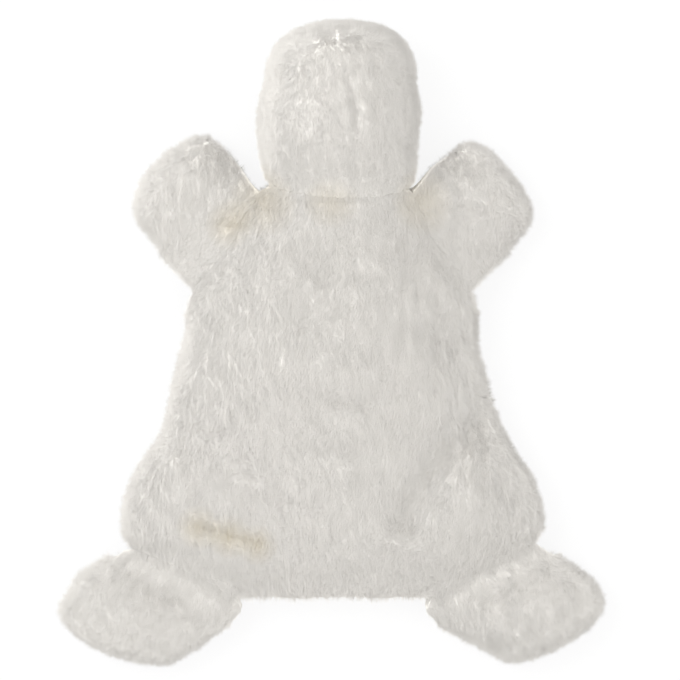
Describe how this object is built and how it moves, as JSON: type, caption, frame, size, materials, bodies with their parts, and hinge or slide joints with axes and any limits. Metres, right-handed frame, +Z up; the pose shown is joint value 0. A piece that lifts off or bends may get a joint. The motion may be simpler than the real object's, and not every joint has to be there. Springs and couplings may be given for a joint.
{
  "type": "plush duck hand puppet",
  "caption": "Soft white plush duck hand puppet lying face down, with a nodding head, wings and feet that flap, and a lined room for the hand that opens at the hem.",
  "frame": {"origin": "on the surface that the puppet lies on, under the middle of its outline", "axes": "+Y from the hem to the crown of the head, +X to the right as seen from above the back, +Z up out of the back"},
  "size_m": [0.2708, 0.3216, 0.06],
  "materials": {
    "white_plush": "soft short pile, warm white",
    "fibre_filling": "loose polyester fibre",
    "lining_cloth": "thin smooth knit",
    "bill_cloth": "very short matte pile",
    "black_eye": "polished",
    "eye_washer": "moulded"
  },
  "bodies": {
    "torso": {"body_back_panel": "white_plush", "body_belly_panel": "white_plush", "hem_facing": "white_plush", "lining_back": "lining_cloth", "lining_belly": "lining_cloth"},
    "head": {"head_back_left_panel": "white_plush", "head_back_right_panel": "white_plush", "face_panel": "white_plush", "head_filling": "fibre_filling", "head_finger_pocket": "lining_cloth", "eye_left": "black_eye", "eye_right": "black_eye", "eye_washer_left": "eye_washer", "eye_washer_right": "eye_washer", "bill_upper_panel": "bill_cloth", "bill_lower_panel": "bill_cloth", "bill_filling": "fibre_filling"},
    "wing_left": {"wing_left_back_panel": "white_plush", "wing_left_under_panel": "white_plush", "wing_left_filling": "fibre_filling", "wing_left_finger_pocket": "lining_cloth"},
    "wing_right": {"wing_right_back_panel": "white_plush", "wing_right_under_panel": "white_plush", "wing_right_filling": "fibre_filling", "wing_right_finger_pocket": "lining_cloth"},
    "foot_left": {"foot_left_top_panel": "white_plush", "foot_left_sole_panel": "white_plush", "foot_left_filling": "fibre_filling"},
    "foot_right": {"foot_right_top_panel": "white_plush", "foot_right_sole_panel": "white_plush", "foot_right_filling": "fibre_filling"}
  },
  "joints": [
    {"name": "neck_nod", "type": "hinge", "parent": "torso", "child": "head", "pos_m": [0.0045, 0.0695, 0.02], "axis": [1, 0, 0], "range_deg": [-18, 35]},
    {"name": "wing_left_flap", "type": "hinge", "parent": "torso", "child": "wing_left", "pos_m": [-0.0508, 0.05, 0.011], "axis": [0.6347, 0.7727, 0], "range_deg": [-20, 40]},
    {"name": "wing_right_flap", "type": "hinge", "parent": "torso", "child": "wing_right", "pos_m": [0.052, 0.0504, 0.011], "axis": [0.6198, -0.7848, 0], "range_deg": [-20, 40]},
    {"name": "foot_left_flap", "type": "hinge", "parent": "torso", "child": "foot_left", "pos_m": [-0.0765, -0.119, 0.0115], "axis": [-0.9114, 0.4115, 0], "range_deg": [-30, 40]},
    {"name": "foot_right_flap", "type": "hinge", "parent": "torso", "child": "foot_right", "pos_m": [0.0778, -0.1166, 0.0115], "axis": [-0.8894, -0.4571, 0], "range_deg": [-30, 40]}
  ]
}
